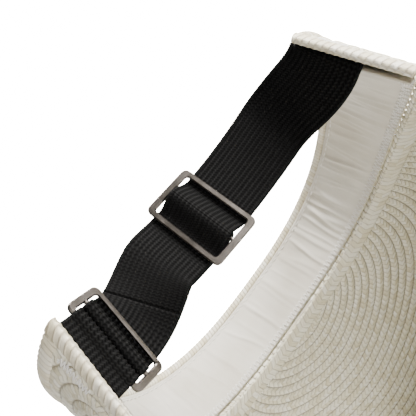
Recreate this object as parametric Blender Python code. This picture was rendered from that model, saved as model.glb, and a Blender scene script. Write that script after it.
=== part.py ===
"""Straw sun visor: a woven-straw crown band and wide brim, closed at the back by a ribbed elastic
strap with a sliding three-bar adjuster.

Lengths are metres. The visor stands as it is worn: the brim's rim is on the floor at z = 0, the front of
the brim points to -Y and the wearer's left is +X.

The crown band and brim are laid out with `turn`, from -1 at the wearer's right end of the band, through
0 at the middle of the forehead, to +1 at the left end. The strap is laid out with `run`, the distance
along its path from the middle of the adjuster slide, positive towards the left end.
"""
import math

import bmesh
import bpy
from mathutils import Matrix, Vector

MM = 0.001
GAP = 0.3 * MM

# Head oval along the seam where the crown band meets the brim
OVAL_HALF_WIDTH = 79.9 * MM
OVAL_HALF_LENGTH = 89.4 * MM
OVAL_POWER = 2.41
OVAL_CENTRE_Y = 38.24 * MM
END_ANGLE = math.radians(144.1)
SEAM_HEIGHT_FRONT = 80.0 * MM
SEAM_HEIGHT_END = 49.3 * MM

# Crown band: straw outside, folded straw rows round its edges, cotton sweatband inside
BAND_HEIGHT_FRONT = 37.8 * MM
BAND_HEIGHT_END = 39.1 * MM
BAND_INSET_FRONT = -3.6 * MM
BAND_INSET_END = 2.1 * MM
STRAW_THICKNESS = 2.0 * MM
FOLDED_ROW_THICKNESS = 3.0 * MM
FOLDED_ROW_WIDTH = 5.0 * MM
FOLDED_ROW_INNER = 1.4 * MM
COTTON_THICKNESS = 0.8 * MM
SWEATBAND_END_TURN = 0.97
LEFT_END_SLANT = 20.0 * MM
LEFT_END_FLARE = 10.0 * MM
LEFT_END_START_TURN = 0.72

# Brim
BRIM_REACH_FRONT = 80.0 * MM
BRIM_REACH_END = 34.0 * MM
BRIM_TAPER_POWER = 1.5
BRIM_BOW = 0.14
RIM_LIFT_END = 20.0 * MM
RIM_LIFT_START_TURN = 0.62
CORNER_TURN = 0.07
CORNER_REACH_LOSS = 0.45
RIM_HEIGHT = 3.4 * MM
RIM_FOOT_WIDTH = 2.4 * MM
COVER_ROW_WIDTH = 9.0 * MM
COVER_ROW_THICKNESS = 1.0 * MM
COVER_ROW_END_TURN = 0.95

# Elastic strap
STRAP_WIDTH = 25.0 * MM
STRAP_THICKNESS = 1.0 * MM
STRAP_ARC_RADIUS = 80.0 * MM
STRAP_ARC_TO_RIGHT = 36.0 * MM
STRAP_ARC_TO_LEFT = 18.0 * MM
STRAP_END_RUN = 20.0 * MM
STRAP_RISE = 0.70
TAB_STRAIGHT = 2.6 * MM
TAB_TURN = 0.984
TAB_LENGTH = 6.0 * MM

# Metal slides: a large one that adjusts the strap and a short one that joins it to the tab
SLIDE_WIDTH = 31.0 * MM
SLIDE_THICKNESS = 1.6 * MM
SIDE_BAR_WIDTH = 2.4 * MM
SLIDE_OUTER_CORNER = 2.0 * MM
SLIDE_INNER_CORNER = 0.9 * MM
SLIDE_LENGTH = 20.0 * MM
SLIDE_BAR_WIDTH = 2.0 * MM
SLIDE_CENTRE = Vector((3.1 * MM, OVAL_CENTRE_Y + 49.7 * MM, SEAM_HEIGHT_FRONT + 8.9 * MM))
SLIDE_HEADING = math.radians(8.0)
SLIDE_LEAN = math.radians(12.0)
END_SLIDE_LENGTH = 12.0 * MM
END_SLIDE_BAR_WIDTH = 1.4 * MM

# Stretches that every band and brim piece is divided into, so that neighbours' facets match
TURN_STEPS = 80

# Sewing threads
THREAD_WIDTH = 0.6 * MM
THREAD_HEIGHT = 0.4 * MM
OVERLOCK_WAVES = 44
OVERLOCK_HEIGHT = 1.3 * MM
TACK_WAVES = 8
TACK_HALF_WIDTH = 1.4 * MM
TACK_LENGTH = 11.0 * MM
TACK_FROM_END = 7.2 * MM

BAR_RADIUS = SLIDE_THICKNESS / 2
BAR_PITCH = (SLIDE_LENGTH - SLIDE_BAR_WIDTH) / 2
END_BAR_PITCH = (END_SLIDE_LENGTH - END_SLIDE_BAR_WIDTH) / 2
LAYER = STRAP_THICKNESS + GAP
WRAP_RADIUS = BAR_RADIUS + GAP + STRAP_THICKNESS / 2
TAB_WRAP_RADIUS = math.hypot(END_SLIDE_BAR_WIDTH, SLIDE_THICKNESS) / 2 + GAP + STRAP_THICKNESS / 2
# The flat slide spans the strap's arc, so the strap passes its outer bars this much lower than the middle
ARC_SAG = SLIDE_LENGTH ** 2 / (8 * STRAP_ARC_RADIUS)
UNDER_BARS = -WRAP_RADIUS - ARC_SAG

UP = Vector((0.0, 0.0, 1.0))


def smoothstep(value):
    value = min(max(value, 0.0), 1.0)
    return value * value * (3.0 - 2.0 * value)


def blend(start, end, share):
    return start + (end - start) * share


def steps(start, end, count):
    return [blend(start, end, index / count) for index in range(count + 1)]


# ---------------------------------------------------------------------------------------------------------
# Objects and materials


def clear_scene():
    for item in list(bpy.data.objects):
        bpy.data.objects.remove(item, do_unlink=True)


def material(name, colour, roughness, metallic=0.0):
    made = bpy.data.materials.new(name)
    made.use_nodes = True
    shader = made.node_tree.nodes["Principled BSDF"]
    shader.inputs["Base Color"].default_value = (*colour, 1.0)
    shader.inputs["Roughness"].default_value = roughness
    shader.inputs["Metallic"].default_value = metallic
    made.diffuse_color = (*colour, 1.0)
    return made


def mesh_object(name, shape, surface, sharp_angle=40.0):
    """Close a bmesh's normals outwards and link it as a named object."""
    bmesh.ops.recalc_face_normals(shape, faces=shape.faces)
    mesh = bpy.data.meshes.new(name)
    shape.to_mesh(mesh)
    shape.free()
    mesh.polygons.foreach_set("use_smooth", [True] * len(mesh.polygons))
    mesh.set_sharp_from_angle(angle=math.radians(sharp_angle))
    mesh.materials.append(surface)
    made = bpy.data.objects.new(name, mesh)
    bpy.context.scene.collection.objects.link(made)
    return made


def add_slab(shape, front, back):
    """Add the closed solid between two matching grids of points."""
    rows = len(front)
    columns = len(front[0])
    near = [[shape.verts.new(point) for point in row] for row in front]
    far = [[shape.verts.new(point) for point in row] for row in back]
    for i in range(rows - 1):
        for j in range(columns - 1):
            shape.faces.new((near[i][j], near[i][j + 1], near[i + 1][j + 1], near[i + 1][j]))
            shape.faces.new((far[i][j], far[i + 1][j], far[i + 1][j + 1], far[i][j + 1]))
    for i in range(rows - 1):
        for j in (0, columns - 1):
            shape.faces.new((near[i][j], near[i + 1][j], far[i + 1][j], far[i][j]))
    for j in range(columns - 1):
        for i in (0, rows - 1):
            shape.faces.new((near[i][j], near[i][j + 1], far[i][j + 1], far[i][j]))


def slab_object(name, front, back, surface):
    shape = bmesh.new()
    add_slab(shape, front, back)
    return mesh_object(name, shape, surface)


def thread_object(name, points, outwards, surface):
    """One closed thread that follows points lying on a surface, with the surface's outward directions."""
    front = []
    back = []
    for index, point in enumerate(points):
        before = points[max(index - 1, 0)]
        after = points[min(index + 1, len(points) - 1)]
        side = (after - before).cross(outwards[index]).normalized() * (THREAD_WIDTH / 2)
        top = outwards[index].normalized() * THREAD_HEIGHT
        front.append([point - side, point + side])
        back.append([point - side + top, point + side + top])
    return slab_object(name, front, back, surface)


# ---------------------------------------------------------------------------------------------------------
# Crown band and brim layout


def turns_to(limit):
    """Turns from one side to the other that share the common divisions."""
    inner = [turn for turn in steps(-1.0, 1.0, TURN_STEPS) if abs(turn) < limit - 0.004]
    return [-limit] + inner + [limit]


def oval(turn):
    """Return the seam's plan point and its outward direction."""
    angle = turn * END_ANGLE
    side = math.sin(angle)
    back = -math.cos(angle)
    share = abs(side / OVAL_HALF_WIDTH) ** OVAL_POWER + abs(back / OVAL_HALF_LENGTH) ** OVAL_POWER
    radius = share ** (-1.0 / OVAL_POWER)
    point = Vector((radius * side, radius * back, 0.0))
    slope_x = abs(point.x / OVAL_HALF_WIDTH) ** (OVAL_POWER - 1.0) / OVAL_HALF_WIDTH
    slope_y = abs(point.y / OVAL_HALF_LENGTH) ** (OVAL_POWER - 1.0) / OVAL_HALF_LENGTH
    outward = Vector((math.copysign(slope_x, side), math.copysign(slope_y, back), 0.0)).normalized()
    return point, outward


def seam_height(turn):
    return blend(SEAM_HEIGHT_FRONT, SEAM_HEIGHT_END, turn * turn)


def band_height(turn):
    return blend(BAND_HEIGHT_FRONT, BAND_HEIGHT_END, turn * turn)


def band_point(turn, rise, out):
    """Point on the crown band: rise 0 at the seam to 1 at the top edge, out from its inner straw face."""
    plan, outward = oval(turn)
    inset = blend(BAND_INSET_FRONT, BAND_INSET_END, turn * turn) * rise
    point = plan - plan.normalized() * inset + outward * out
    backward = Vector((-outward.y, outward.x, 0.0))
    twist = smoothstep((turn - LEFT_END_START_TURN) / (1.0 - LEFT_END_START_TURN)) * (rise - STRAP_RISE)
    point += (backward * LEFT_END_SLANT + outward * LEFT_END_FLARE) * twist
    return point + Vector((0.0, OVAL_CENTRE_Y, seam_height(turn) + rise * band_height(turn)))


def band_slab(name, turns, rises, outer, inner, surface):
    """Closed strip of the band between two offsets, each a function of turn."""
    front = [[band_point(turn, rise, outer(turn)) for rise in rises] for turn in turns]
    back = [[band_point(turn, rise, inner(turn)) for rise in rises] for turn in turns]
    return slab_object(name, front, back, surface)


def band_length():
    """Length of the seam from the middle of the forehead to one end."""
    points = [band_point(turn, 0.0, 0.0) for turn in steps(0.0, 1.0, 200)]
    return sum((after - before).length for before, after in zip(points, points[1:]))


def brim_reach(turn):
    size = abs(turn)
    reach = blend(BRIM_REACH_END, BRIM_REACH_FRONT, math.cos(math.pi / 2 * size ** BRIM_TAPER_POWER))
    corner = max(0.0, (size - 1.0 + CORNER_TURN) / CORNER_TURN)
    return reach * (1.0 - CORNER_REACH_LOSS * (1.0 - math.sqrt(1.0 - min(corner, 1.0) ** 2)))


def rim_height(turn):
    lift = smoothstep((abs(turn) - RIM_LIFT_START_TURN) / (1.0 - RIM_LIFT_START_TURN))
    return RIM_LIFT_END * lift


def brim_point(turn, share, depth):
    """Point on the brim: share 0 at the seam to 1 at the rim, depth below its upper face."""
    outward = oval(turn)[1]
    reach = brim_reach(turn)
    start = band_point(turn, 0.0, 0.0) - UP * GAP
    drop = start.z - rim_height(turn) - RIM_HEIGHT
    fall = share - BRIM_BOW * share * (1.0 - share)
    slope = 1.0 - BRIM_BOW * (1.0 - 2.0 * share)
    point = start + outward * (reach * share) - UP * (drop * fall)
    normal = (outward * (drop * slope) + UP * reach).normalized()
    return point - normal * depth


def brim_width(turn):
    return (brim_point(turn, 1.0, 0.0) - brim_point(turn, 0.0, 0.0)).length


# ---------------------------------------------------------------------------------------------------------
# Strap path


def strap_axes(heading, fall, lean):
    """Along, across and outward directions; heading is from +X, fall is downwards, lean is outwards."""
    level = Vector((math.cos(heading), math.sin(heading), 0.0))
    along = level * math.cos(fall) - UP * math.sin(fall)
    side = Vector((-level.y, level.x, 0.0))
    across = UP * math.cos(lean) + side * math.sin(lean)
    across = (across - along * across.dot(along)).normalized()
    return along, across, across.cross(along)


def slide_axes():
    return strap_axes(SLIDE_HEADING, 0.0, SLIDE_LEAN)


def band_end_axes(side):
    """At an end of the band: square to its inner face towards the wearer's left, up its edge, and along it."""
    turn = side * TAB_TURN
    ahead = band_point(turn + 0.004, STRAP_RISE, 0.0) - band_point(turn - 0.004, STRAP_RISE, 0.0)
    across = (band_point(turn, 1.0, 0.0) - band_point(turn, 0.0, 0.0)).normalized()
    along = ahead.cross(across).normalized() * side
    return along, across, across.cross(along)


def band_end(side):
    """Where the middle of the elastic meets the inner face of the band."""
    return band_point(side * TAB_TURN, STRAP_RISE, -2.5 * GAP)


def end_slide_axes():
    return band_end_axes(1)


def end_slide_centre():
    return band_end(1) - end_slide_axes()[0] * (TAB_LENGTH + END_BAR_PITCH)


def arc_centre():
    return SLIDE_CENTRE + slide_axes()[2] * STRAP_ARC_RADIUS


def arc_point(run):
    """Point of the strap's circular stretch, and its direction."""
    along, across, outward = slide_axes()
    angle = run / STRAP_ARC_RADIUS
    direction = along * math.cos(angle) + outward * math.sin(angle)
    away = outward * math.cos(angle) - along * math.sin(angle)
    return arc_centre() - away * STRAP_ARC_RADIUS, direction


def hermite(start, leave, end, arrive, count):
    """Smooth curve between two points, leaving and arriving along the given directions."""
    span = (end - start).length
    points = []
    for share in steps(0.0, 1.0, count):
        square = share * share
        cube = square * share
        points.append(
            start * (2 * cube - 3 * square + 1)
            + leave * (span * (cube - 2 * square + share))
            + end * (3 * square - 2 * cube)
            + arrive * (span * (cube - square))
        )
    return points


class StrapPath:
    """The curve that the strap follows, with its width direction, measured from the adjuster slide."""

    def __init__(self):
        right = band_end(-1)
        left = band_end(1)
        right_way, right_across, _ = band_end_axes(-1)
        tab_way, tab_across, _ = end_slide_axes()
        arc_start, start_way = arc_point(-STRAP_ARC_TO_RIGHT)
        arc_end, end_way = arc_point(STRAP_ARC_TO_LEFT)
        arc_across = slide_axes()[1]
        near = end_slide_centre() - tab_way * (END_SLIDE_LENGTH / 2)

        self.points = []
        self.acrosses = []
        self.add_curve(hermite(right, right_way, arc_start, start_way, 24)[:-1], right_across, arc_across)
        for run in steps(-STRAP_ARC_TO_RIGHT, STRAP_ARC_TO_LEFT, 44):
            self.add(arc_point(run)[0], arc_across)
        self.add_curve(hermite(arc_end, end_way, near, tab_way, 12)[1:-1], arc_across, tab_across)
        self.add_curve([near.lerp(left, share) for share in steps(0.0, 1.0, 12)], tab_across, tab_across)
        self.measure()

    def add_curve(self, points, first_across, last_across):
        last = len(points) - 1
        for index, point in enumerate(points):
            self.add(point, first_across.lerp(last_across, smoothstep(index / last)))

    def add(self, point, across):
        self.points.append(point)
        self.acrosses.append(across)

    def measure(self):
        self.runs = [0.0]
        for before, after in zip(self.points, self.points[1:]):
            self.runs.append(self.runs[-1] + (after - before).length)
        zero = self.nearest_run(SLIDE_CENTRE, slide_axes()[0])
        self.runs = [run - zero for run in self.runs]
        self.end_slide_run = self.nearest_run(end_slide_centre(), end_slide_axes()[0])

    def nearest_run(self, place, along):
        nearest = min(range(len(self.points)), key=lambda index: (self.points[index] - place).length)
        return self.runs[nearest] + (place - self.points[nearest]).dot(along)

    def locate(self, run):
        """Index of the stretch that holds a run, and the share of it."""
        index = 0
        while index < len(self.runs) - 2 and self.runs[index + 1] < run:
            index += 1
        return index, (run - self.runs[index]) / (self.runs[index + 1] - self.runs[index])

    def point(self, run):
        index, share = self.locate(run)
        return self.points[index].lerp(self.points[index + 1], share)

    def axes(self, run):
        """Along, across and outward directions at a run."""
        index, share = self.locate(run)
        across = self.acrosses[index].lerp(self.acrosses[index + 1], share)
        step = 0.6 * MM
        first = max(self.runs[0], run - step)
        last = min(self.runs[-1], run + step)
        along = (self.point(last) - self.point(first)).normalized()
        across = (across - along * across.dot(along)).normalized()
        return along, across, across.cross(along)

    def place(self, run, lift, side=0.0):
        """World point at a run, lifted off the path and moved across it."""
        along, across, outward = self.axes(run)
        return self.point(run) + outward * lift + across * side

    def frame(self, run):
        """Matrix whose X is along the strap, Y across it and Z outward."""
        along, across, outward = self.axes(run)
        turn = Matrix((along, across, outward)).transposed()
        return Matrix.Translation(self.point(run)) @ turn.to_4x4()


def bar_arc(centre, radius, first, last, count):
    """Profile points round a bar, as (run, lift) pairs; angles are in degrees, 90 is outward."""
    points = []
    for angle in steps(math.radians(first), math.radians(last), count):
        points.append((centre + radius * math.cos(angle), radius * math.sin(angle)))
    return points


def strap_profile(path):
    """Side view of the strap: under and over the slide, round the end slide, back and round its bar."""
    turn_run = path.end_slide_run
    hump_half = 7.6 * MM
    hump_height = WRAP_RADIUS + LAYER - UNDER_BARS
    climb = 4.4 * MM
    sink = 4.0 * MM
    loop_half = 6.2 * MM
    dive = 5.5 * MM
    settle = 16.0 * MM
    points = []
    for run in steps(path.runs[0], -hump_half, 48):
        points.append((run, UNDER_BARS * smoothstep((run + STRAP_ARC_TO_RIGHT + settle) / settle)))
    for run in steps(-hump_half, hump_half, 20)[1:]:
        bump = 0.5 + 0.5 * math.cos(math.pi * run / hump_half)
        points.append((run, UNDER_BARS + hump_height * bump))
    points += [(run, UNDER_BARS) for run in steps(hump_half, turn_run - climb, 16)[1:]]
    for share in steps(0.0, 1.0, 10)[1:-1]:
        rise = 0.5 - 0.5 * math.cos(math.pi * share)
        points.append((turn_run - climb * (1.0 - share), blend(UNDER_BARS, WRAP_RADIUS, rise)))
    points += bar_arc(turn_run, WRAP_RADIUS, 90.0, -90.0, 10)
    for share in steps(0.0, 1.0, 6)[1:]:
        points.append((turn_run - sink * share, blend(-WRAP_RADIUS, UNDER_BARS - LAYER, smoothstep(share))))
    points += [(run, UNDER_BARS - LAYER) for run in steps(turn_run - sink, loop_half, 14)[1:]]
    for run in steps(loop_half, 0.0, 10)[1:-1]:
        bump = 0.5 + 0.5 * math.cos(math.pi * run / loop_half)
        points.append((run, blend(UNDER_BARS - LAYER, WRAP_RADIUS, bump)))
    points += bar_arc(0.0, WRAP_RADIUS, 90.0, 270.0, 10)
    for share in steps(0.0, 1.0, 6)[1:]:
        points.append((dive * share, blend(-WRAP_RADIUS, UNDER_BARS - 2.0 * LAYER, smoothstep(share))))
    points += [(run, UNDER_BARS - 2.0 * LAYER) for run in steps(dive, STRAP_END_RUN, 8)[1:]]
    return points


def tab_profile(path):
    """Side view of the tab: out of the band, round the end slide's far bar and back in."""
    bar_run = path.end_slide_run + END_BAR_PITCH
    settle = TAB_STRAIGHT
    half = LAYER / 2
    lift = TAB_WRAP_RADIUS
    points = [(run, half) for run in steps(path.runs[-1], bar_run + settle, 16)]
    for share in steps(1.0, 0.0, 4)[1:-1]:
        points.append((bar_run + settle * share, blend(lift, half, smoothstep(share))))
    points += bar_arc(bar_run, lift, 90.0, 270.0, 12)
    for share in steps(0.0, 1.0, 4)[1:-1]:
        points.append((bar_run + settle * share, -blend(lift, half, smoothstep(share))))
    points += [(run, -half) for run in steps(bar_run + settle, path.runs[-1], 16)]
    return points


def ribbon(name, path, profile, width, surface):
    """Closed ribbon of the strap's thickness that follows a (run, lift) profile along the path."""
    front = []
    back = []
    for index, (run, lift) in enumerate(profile):
        before = profile[max(index - 1, 0)]
        after = profile[min(index + 1, len(profile) - 1)]
        length = math.hypot(after[0] - before[0], after[1] - before[1])
        off_run = -(after[1] - before[1]) / length * STRAP_THICKNESS / 2
        off_lift = (after[0] - before[0]) / length * STRAP_THICKNESS / 2
        sides = steps(-width / 2, width / 2, 2)
        front.append([path.place(run + off_run, lift + off_lift, side) for side in sides])
        back.append([path.place(run - off_run, lift - off_lift, side) for side in sides])
    return slab_object(name, front, back, surface)


# ---------------------------------------------------------------------------------------------------------
# Straw and cotton parts


def make_crown_band(straw):
    end = 1.0 - FOLDED_ROW_WIDTH / band_length()
    turns = turns_to(end)
    rises = steps(GAP / BAND_HEIGHT_FRONT, 0.86, 4)
    return band_slab("crown_band", turns, rises, lambda turn: STRAW_THICKNESS, lambda turn: 0.0, straw)


def make_crown_top_row(straw):
    """Straw row folded over the band's top edge. It stays outside the straw where the elastic joins."""
    end = 1.0 - FOLDED_ROW_WIDTH / band_length()
    turns = turns_to(end)

    def inner(turn):
        return -FOLDED_ROW_INNER * (1.0 - smoothstep((abs(turn) - 0.78) / 0.1))

    rises = steps(0.87, 1.0, 2)
    return band_slab("crown_top_row", turns, rises, lambda turn: FOLDED_ROW_THICKNESS, inner, straw)


def make_end_row(name, side, straw):
    """Folded straw row down one end of the band, outside the elastic that joins behind it."""
    inner_turn = 1.0 - FOLDED_ROW_WIDTH / band_length() + GAP / band_length()
    turns = [side * turn for turn in steps(inner_turn, 1.0, 2)]
    rises = steps(GAP / BAND_HEIGHT_END, 1.0, 8)
    return band_slab(name, turns, rises, lambda turn: FOLDED_ROW_THICKNESS, lambda turn: 0.0, straw)


def make_sweatband(cotton):
    turns = turns_to(SWEATBAND_END_TURN)
    rises = steps(0.01, 0.855, 4)
    return band_slab("sweatband", turns, rises, lambda turn: -GAP, lambda turn: -GAP - COTTON_THICKNESS, cotton)


def sweatband_thread(name, heights, thread):
    """Thread along the sweatband's inner face, at the given heights above the seam."""
    last = len(heights) - 1
    points = []
    outwards = []
    for index, height in enumerate(heights):
        turn = blend(-0.97, 0.97, index / last)
        out = -COTTON_THICKNESS - 2.0 * GAP
        points.append(band_point(turn, height / band_height(turn), out))
        outwards.append(-oval(turn)[1])
    return thread_object(name, points, outwards, thread)


def make_sweatband_top_stitch(thread):
    """Running stitch that holds the sweatband's upper edge."""
    return sweatband_thread("sweatband_top_stitch", [30.5 * MM] * 81, thread)


def make_sweatband_overlock(thread):
    """Zigzag that binds the sweatband's lower edge."""
    count = 4 * OVERLOCK_WAVES
    waves = [math.sin(math.pi / 2 * index) for index in range(count + 1)]
    return sweatband_thread("sweatband_overlock", [2.6 * MM + OVERLOCK_HEIGHT * wave for wave in waves], thread)


def make_brim(straw):
    turns = turns_to(1.0)

    def row(turn, depth):
        last = 1.0 - FOLDED_ROW_WIDTH / brim_width(turn)
        return [brim_point(turn, share, depth) for share in steps(0.0, last, 8)]

    front = [row(turn, 0.0) for turn in turns]
    back = [row(turn, STRAW_THICKNESS) for turn in turns]
    return slab_object("brim", front, back, straw)


def make_seam_cover_row(straw):
    """Flat straw row that covers the seam, on the brim's underside next to the sweatband."""
    turns = turns_to(COVER_ROW_END_TURN)

    def row(turn, depth):
        width = brim_width(turn)
        return [brim_point(turn, share, depth) for share in steps(0.4 * MM / width, COVER_ROW_WIDTH / width, 3)]

    upper = STRAW_THICKNESS + GAP
    front = [row(turn, upper) for turn in turns]
    back = [row(turn, upper + COVER_ROW_THICKNESS) for turn in turns]
    return slab_object("seam_cover_row", front, back, straw)


def make_brim_edge_row(straw):
    """Folded straw row round the rim, with the flat foot that the visor stands on."""
    shape = bmesh.new()
    rings = []
    for turn in turns_to(1.0):
        share = 1.0 - (FOLDED_ROW_WIDTH - GAP) / brim_width(turn)
        outward = oval(turn)[1]
        top_outer = brim_point(turn, 1.0, 0.0)
        foot_outer = top_outer - UP * RIM_HEIGHT
        foot_inner = foot_outer - outward * RIM_FOOT_WIDTH
        under_inner = brim_point(turn, share, STRAW_THICKNESS)
        top_inner = brim_point(turn, share, 0.0)
        corners = (top_outer, foot_outer, foot_inner, under_inner, top_inner)
        rings.append([shape.verts.new(corner) for corner in corners])
    for before, after in zip(rings, rings[1:]):
        for index in range(5):
            following = (index + 1) % 5
            shape.faces.new((before[index], before[following], after[following], after[index]))
    shape.faces.new(rings[0])
    shape.faces.new(rings[-1])
    return mesh_object("brim_edge_row", shape, straw)


# ---------------------------------------------------------------------------------------------------------
# Strap parts


def rounded_rectangle(length, width, corner, lift):
    """Loop of points round a rectangle with rounded corners, at one height."""
    points = []
    for quarter, (sign_x, sign_y) in enumerate(((1, 1), (-1, 1), (-1, -1), (1, -1))):
        centre = (sign_x * (length / 2 - corner), sign_y * (width / 2 - corner))
        for angle in steps(quarter * math.pi / 2, (quarter + 1) * math.pi / 2, 5):
            x = centre[0] + corner * math.cos(angle)
            y = centre[1] + corner * math.sin(angle)
            points.append(Vector((x, y, lift)))
    return points


def slide_mesh(length, bar_width):
    """Three-bar slide's frame in its own axes: X along the strap, Y across it, Z outward."""
    shape = bmesh.new()
    half = SLIDE_THICKNESS / 2
    bevel = 0.35 * MM
    outer = (length, SLIDE_WIDTH, SLIDE_OUTER_CORNER)
    inner = (length - 2 * bar_width, SLIDE_WIDTH - 2 * SIDE_BAR_WIDTH, SLIDE_INNER_CORNER)

    def loop(size, grow, lift):
        points = rounded_rectangle(size[0] + 2 * grow, size[1] + 2 * grow, size[2] + grow, lift)
        return [shape.verts.new(point) for point in points]

    rings = [loop(outer, -bevel, half), loop(outer, 0.0, half - bevel)]
    rings += [loop(outer, 0.0, bevel - half), loop(outer, -bevel, -half)]
    rings += [loop(inner, bevel, -half), loop(inner, 0.0, bevel - half)]
    rings += [loop(inner, 0.0, half - bevel), loop(inner, bevel, half)]
    count = len(rings[0])
    for before, after in zip(rings, rings[1:] + rings[:1]):
        for index in range(count):
            following = (index + 1) % count
            shape.faces.new((before[index], before[following], after[following], after[index]))
    return shape


def middle_bar(name, surface):
    """The slide's middle bar, long enough to run into both side bars."""
    shape = bmesh.new()
    bmesh.ops.create_cone(
        shape,
        cap_ends=True,
        segments=16,
        radius1=BAR_RADIUS * 0.98,
        radius2=BAR_RADIUS * 0.98,
        depth=SLIDE_WIDTH - SIDE_BAR_WIDTH,
        matrix=Matrix.Rotation(math.pi / 2, 4, "X"),
    )
    return mesh_object(name, shape, surface)


def make_slide(name, length, bar_width, frame, metal):
    """A three-bar slide whose middle bar is joined into its side bars."""
    slide = mesh_object(name, slide_mesh(length, bar_width), metal, sharp_angle=50.0)
    bar = middle_bar(name + "_middle_bar", metal)
    bar.hide_render = True
    bar.display_type = "WIRE"
    bar.parent = slide
    join = slide.modifiers.new("middle_bar", "BOOLEAN")
    join.operation = "UNION"
    join.solver = "EXACT"
    join.object = bar
    slide.matrix_world = frame
    return slide


def make_strap_end_stitch(path, thread):
    """Stitch across the strap's folded end, on its hidden face."""
    run = 15.0 * MM
    lift = UNDER_BARS - 2.0 * LAYER - STRAP_THICKNESS / 2 - GAP
    inward = -path.axes(run)[2]
    points = [path.place(run, lift, side) for side in steps(-10.0 * MM, 10.0 * MM, 8)]
    return thread_object("strap_end_stitch", points, [inward] * len(points), thread)


def make_bar_tack(name, side, thread):
    """Dense zigzag on the straw that holds the elastic joined behind it."""
    turn = side * (1.0 - TACK_FROM_END / band_length())
    half_turn = TACK_HALF_WIDTH / band_length()
    middle = STRAP_RISE * band_height(turn)
    points = []
    for index in range(4 * TACK_WAVES + 1):
        height = middle + TACK_LENGTH * (index / (4 * TACK_WAVES) - 0.5)
        place = turn + half_turn * math.sin(math.pi / 2 * index)
        points.append(band_point(place, height / band_height(turn), STRAW_THICKNESS + GAP))
    return thread_object(name, points, [oval(turn)[1]] * len(points), thread)


def hinge_empty(name, location, children):
    """Empty on a moving piece's axis that carries the piece."""
    empty = bpy.data.objects.new(name, None)
    empty.location = location
    bpy.context.scene.collection.objects.link(empty)
    bpy.context.view_layer.update()
    for child in children:
        world = child.matrix_world.copy()
        child.parent = empty
        child.matrix_parent_inverse = Matrix.Identity(4)
        child.matrix_world = world
    return empty


def main():
    clear_scene()
    straw = material("straw", (0.84, 0.80, 0.71), 0.55)
    cotton = material("cotton", (0.83, 0.80, 0.77), 0.9)
    elastic = material("elastic", (0.012, 0.012, 0.013), 0.8)
    gunmetal = material("gunmetal", (0.42, 0.40, 0.38), 0.3, 1.0)
    white_thread = material("white_thread", (0.88, 0.86, 0.8), 0.6)
    black_thread = material("black_thread", (0.015, 0.015, 0.016), 0.6)

    make_crown_band(straw)
    make_crown_top_row(straw)
    make_end_row("end_row_right", -1, straw)
    make_end_row("end_row_left", 1, straw)
    make_brim(straw)
    make_seam_cover_row(straw)
    make_brim_edge_row(straw)
    make_sweatband(cotton)
    make_sweatband_top_stitch(white_thread)
    make_sweatband_overlock(white_thread)

    path = StrapPath()
    ribbon("strap_elastic", path, strap_profile(path), STRAP_WIDTH, elastic)
    ribbon("tab_elastic", path, tab_profile(path), STRAP_WIDTH, elastic)
    slide = make_slide("strap_slide", SLIDE_LENGTH, SLIDE_BAR_WIDTH, path.frame(0.0), gunmetal)
    end_frame = path.frame(path.end_slide_run)
    end_slide = make_slide("end_slide", END_SLIDE_LENGTH, END_SLIDE_BAR_WIDTH, end_frame, gunmetal)
    stitch = make_strap_end_stitch(path, black_thread)
    make_bar_tack("strap_bar_tack", -1, white_thread)
    make_bar_tack("tab_bar_tack", 1, white_thread)

    bpy.context.view_layer.update()
    hinge_empty("slide_axis", arc_centre(), (slide, stitch))
    hinge_empty("end_slide_axis", end_frame @ Vector((END_BAR_PITCH, 0.0, 0.0)), (end_slide,))


main()
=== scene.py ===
import math

import bpy
import numpy as np
from mathutils import Matrix, Vector


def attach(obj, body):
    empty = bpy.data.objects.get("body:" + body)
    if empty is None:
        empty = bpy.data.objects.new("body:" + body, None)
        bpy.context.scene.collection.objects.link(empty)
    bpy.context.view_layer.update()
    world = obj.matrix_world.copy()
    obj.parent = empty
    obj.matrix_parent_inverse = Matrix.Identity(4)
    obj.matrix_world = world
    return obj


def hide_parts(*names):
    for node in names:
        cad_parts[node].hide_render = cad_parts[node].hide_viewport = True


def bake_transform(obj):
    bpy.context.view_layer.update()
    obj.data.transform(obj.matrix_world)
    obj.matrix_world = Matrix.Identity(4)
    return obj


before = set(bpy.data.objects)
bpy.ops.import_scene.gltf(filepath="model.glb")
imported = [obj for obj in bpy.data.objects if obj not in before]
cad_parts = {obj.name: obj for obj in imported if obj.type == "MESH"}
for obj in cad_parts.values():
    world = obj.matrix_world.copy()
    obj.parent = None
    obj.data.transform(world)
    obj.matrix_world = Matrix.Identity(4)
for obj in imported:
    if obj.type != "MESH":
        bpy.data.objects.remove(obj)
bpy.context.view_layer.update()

MM = 0.001
GAP = 0.3 * MM
UP = np.array((0.0, 0.0, 1.0))

# Head oval along the seam
OVAL_HALF_WIDTH = 79.9 * MM
OVAL_HALF_LENGTH = 89.4 * MM
OVAL_POWER = 2.41
OVAL_CENTRE_Y = 38.24 * MM
END_ANGLE = math.radians(144.1)
SEAM_HEIGHT_FRONT = 80.0 * MM
SEAM_HEIGHT_END = 49.3 * MM

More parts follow.
